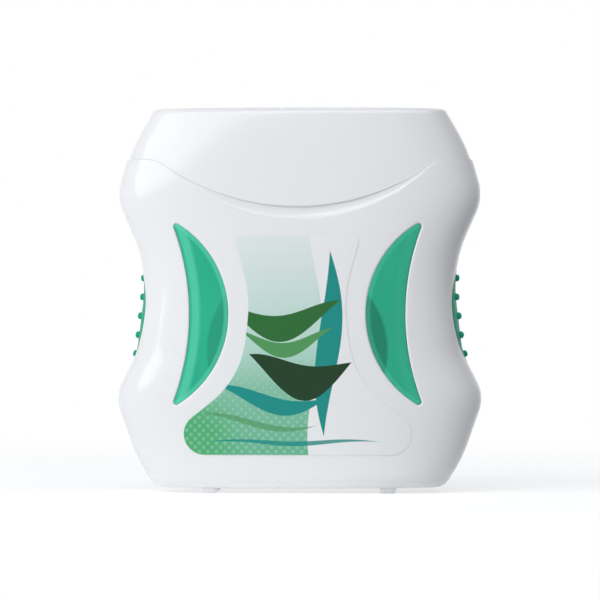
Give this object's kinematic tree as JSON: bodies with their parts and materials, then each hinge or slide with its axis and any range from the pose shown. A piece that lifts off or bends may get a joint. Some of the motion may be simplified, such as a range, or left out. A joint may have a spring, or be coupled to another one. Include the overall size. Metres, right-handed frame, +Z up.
{
  "type": "dental floss dispenser",
  "caption": "Pocket floss dispenser with an hourglass case, a flip lid with a smiling edge, side grips, crescent windows, a spool and a steel cutter.",
  "frame": {"origin": "on the ground under the middle of the case, at the underside of the feet", "axes": "+Z up, +X to the right seen from the front, the front with the windows and the label faces -Y"},
  "size_m": [0.0548, 0.0204, 0.0582],
  "materials": {
    "case_white": "glossy moulded white plastic",
    "guide_white": "satin moulded white plastic",
    "cutter_steel": "stamped stainless steel",
    "window_green": "clear green tinted plastic, polished",
    "grip_green": "soft translucent green grip",
    "label_print": "printed film with a plain green wave design",
    "spool_plastic": "moulded plastic",
    "floss": "waxed fine thread"
  },
  "bodies": {
    "housing": {"front_shell": "case_white", "rear_shell": "case_white", "floss_guide": "guide_white", "cutter": "cutter_steel", "window_left": "window_green", "window_right": "window_green", "grip_left": "grip_green", "grip_right": "grip_green", "front_label": "label_print", "floss_strand": "floss"},
    "lid": {"lid": "case_white"},
    "spool": {"spool_core": "spool_plastic", "floss_winding": "floss"}
  },
  "joints": [
    {"name": "lid_hinge", "type": "hinge", "parent": "housing", "child": "lid", "pos_m": [0, 0.00892, 0.05015], "axis": [-1, 0, 0], "range_deg": [0, 105]},
    {"name": "spool_spin", "type": "hinge", "parent": "housing", "child": "spool", "pos_m": [0, 0, 0.0214], "axis": [0, 1, 0], "continuous": true}
  ]
}
